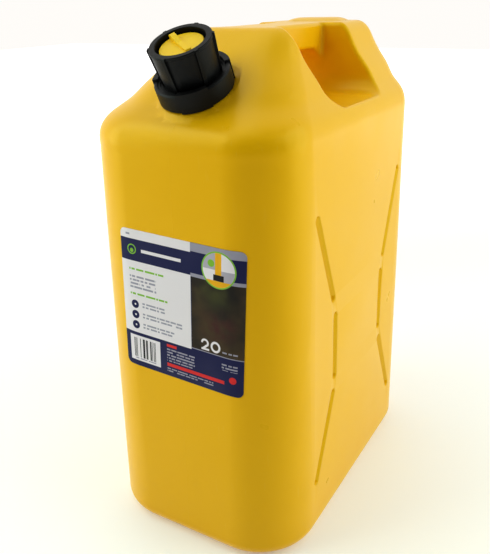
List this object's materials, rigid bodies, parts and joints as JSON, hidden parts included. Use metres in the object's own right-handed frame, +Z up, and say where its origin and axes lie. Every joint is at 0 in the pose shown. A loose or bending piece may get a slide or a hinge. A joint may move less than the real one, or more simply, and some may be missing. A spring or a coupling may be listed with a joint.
{
  "type": "plastic jerry can",
  "caption": "Tall rectangular plastic fuel can with a moulded carry handle, a tilted screw closure and a pull-out pouring spout.",
  "frame": {"origin": "centre of the base on the floor", "axes": "+Z up; the neck end with the label faces -Y; the broad grooved sides face +X and -X"},
  "size_m": [0.2006, 0.3166, 0.4474],
  "materials": {
    "can_plastic": "satin blow-moulded polyethylene, warm yellow",
    "closure_plastic": "semi-gloss black moulded plastic",
    "spout_plastic": "satin injection-moulded yellow plastic",
    "breather_plastic": "natural translucent tube",
    "seal_rubber": "black nitrile rubber",
    "label_print": "printed film label, satin"
  },
  "bodies": {
    "can": {"can_body": "can_plastic", "front_label": "label_print"},
    "barrel": {"pour_barrel": "closure_plastic", "neck_gasket": "seal_rubber", "barrel_seal": "seal_rubber"},
    "collar": {"collar_nut": "closure_plastic"},
    "spout": {"spout_tube": "spout_plastic", "spout_seal": "seal_rubber", "breather_tube": "breather_plastic"},
    "stopper": {"stopper": "spout_plastic", "stopper_seal": "seal_rubber"}
  },
  "joints": [
    {"name": "barrel_lift", "type": "slide", "parent": "can", "child": "barrel", "axis": [0, -0.454, 0.891], "range_m": [0, 0.006]},
    {"name": "collar_turn", "type": "hinge", "parent": "barrel", "child": "collar", "pos_m": [0, -0.111, 0.3984], "axis": [0, -0.454, 0.891], "range_deg": [0, 540]},
    {"name": "spout_pull", "type": "slide", "parent": "barrel", "child": "spout", "axis": [0, -0.454, 0.891], "range_m": [0, 0.1]},
    {"name": "stopper_pull", "type": "slide", "parent": "spout", "child": "stopper", "axis": [0, -0.454, 0.891], "range_m": [0, 0.016]}
  ],
  "couplings": [
    {"joint": "barrel_lift", "follows": "collar_turn", "m_per_rad": 0.00063662}
  ]
}
